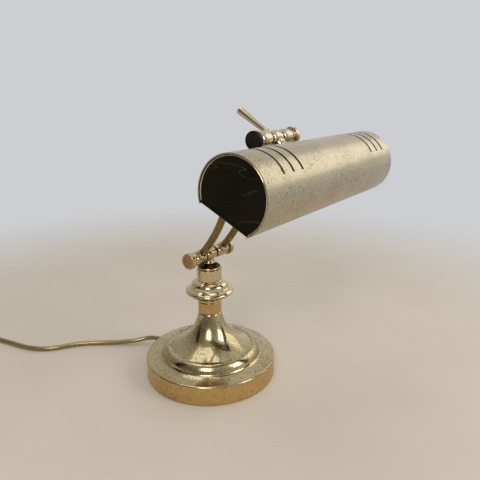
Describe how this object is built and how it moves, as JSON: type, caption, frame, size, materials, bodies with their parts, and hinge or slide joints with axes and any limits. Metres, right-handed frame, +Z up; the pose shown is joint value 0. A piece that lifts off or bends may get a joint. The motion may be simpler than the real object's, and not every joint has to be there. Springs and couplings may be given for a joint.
{
  "type": "swing arm desk lamp",
  "caption": "Brass piano-style desk lamp: round weighted base, turned column, twin S-curved arms between two friction pivots, and a long trough shade with a tilting lever.",
  "frame": {"origin": "centre of the base's underside, on the surface the lamp stands on", "axes": "+Z up; X runs along both pivot axes and the shade, +X towards the end away from the viewer; -Y is the lamp's front, where the arms lean and the shade overhangs"},
  "size_m": [0.3548, 0.5576, 0.3035],
  "materials": {
    "polished_brass": "polished, lightly pitted",
    "satin_brass": "satin",
    "shade_brass": "aged satin with dark specks",
    "rosy_brass": "worn, slightly pink",
    "dark_brass": "dark polished",
    "zinc_steel": "zinc plated",
    "cast_iron": "rough cast",
    "felt": "felt",
    "gold_vinyl": "translucent gold PVC",
    "brown_plastic": "moulded, satin",
    "white_plastic": "moulded, matte",
    "bulb_glass": "frosted"
  },
  "bodies": {
    "base": {"base_shell": "polished_brass", "base_weight": "cast_iron", "base_nut": "zinc_steel", "base_plate": "zinc_steel", "base_felt": "felt", "strain_relief": "brown_plastic", "base_lead": "white_plastic", "stem_rod": "zinc_steel", "stem_band": "satin_brass", "stem_vase": "polished_brass", "neck_sleeve": "polished_brass", "neck_cap": "dark_brass", "cord_run": "gold_vinyl", "switch_base": "brown_plastic", "switch_cover": "brown_plastic", "cord_lead": "gold_vinyl", "cord_coil": "gold_vinyl", "cord_tail": "gold_vinyl", "plug_body": "brown_plastic", "plug_pin_a": "zinc_steel", "plug_pin_b": "zinc_steel"},
    "pivot_block": {"lower_hub": "rosy_brass", "swivel_nut": "zinc_steel", "lower_bolt": "zinc_steel", "lower_washer_near": "dark_brass", "lower_washer_far": "dark_brass", "lower_cap_near": "rosy_brass", "lower_cap_far": "rosy_brass"},
    "arms": {"arm_tube_near": "satin_brass", "arm_tube_far": "satin_brass", "lower_knuckle_near": "rosy_brass", "lower_knuckle_far": "rosy_brass", "upper_knuckle_near": "rosy_brass", "upper_knuckle_far": "rosy_brass", "lower_ferrule_near": "polished_brass", "lower_ferrule_far": "polished_brass", "upper_ferrule_near": "polished_brass", "upper_ferrule_far": "polished_brass", "arm_lead": "white_plastic"},
    "shade": {"upper_hub": "rosy_brass", "upper_bolt": "zinc_steel", "upper_washer_near": "dark_brass", "upper_washer_far": "dark_brass", "upper_cap_near": "rosy_brass", "upper_cap_far": "rosy_brass", "shade_saddle": "polished_brass", "stud_nut": "zinc_steel", "lever_ferrule": "polished_brass", "tilt_lever": "polished_brass", "shade_shell": "shade_brass", "end_plate_near": "polished_brass", "end_plate_far": "polished_brass", "lampholder_bracket": "zinc_steel", "lampholder_body": "white_plastic", "lampholder_ring": "white_plastic", "bulb_cap": "zinc_steel", "bulb_glass": "bulb_glass", "shade_lead": "white_plastic"},
    "rocker": {"switch_rocker": "white_plastic"}
  },
  "joints": [
    {"name": "column_swivel", "type": "hinge", "parent": "base", "child": "pivot_block", "pos_m": [0, 0, 0.1346], "axis": [0, 0, 1], "range_deg": [-150, 150]},
    {"name": "arm_tilt", "type": "hinge", "parent": "pivot_block", "child": "arms", "pos_m": [0, 0, 0.1448], "axis": [1, 0, 0], "range_deg": [-45, 38]},
    {"name": "shade_tilt", "type": "hinge", "parent": "arms", "child": "shade", "pos_m": [0, -0.0826, 0.2761], "axis": [1, 0, 0], "range_deg": [-95, 28]},
    {"name": "switch_press", "type": "hinge", "parent": "base", "child": "rocker", "pos_m": [-0.133, 0.329, 0.0138], "axis": [-0.9641, -0.2656, 0], "range_deg": [-16, 0]}
  ]
}
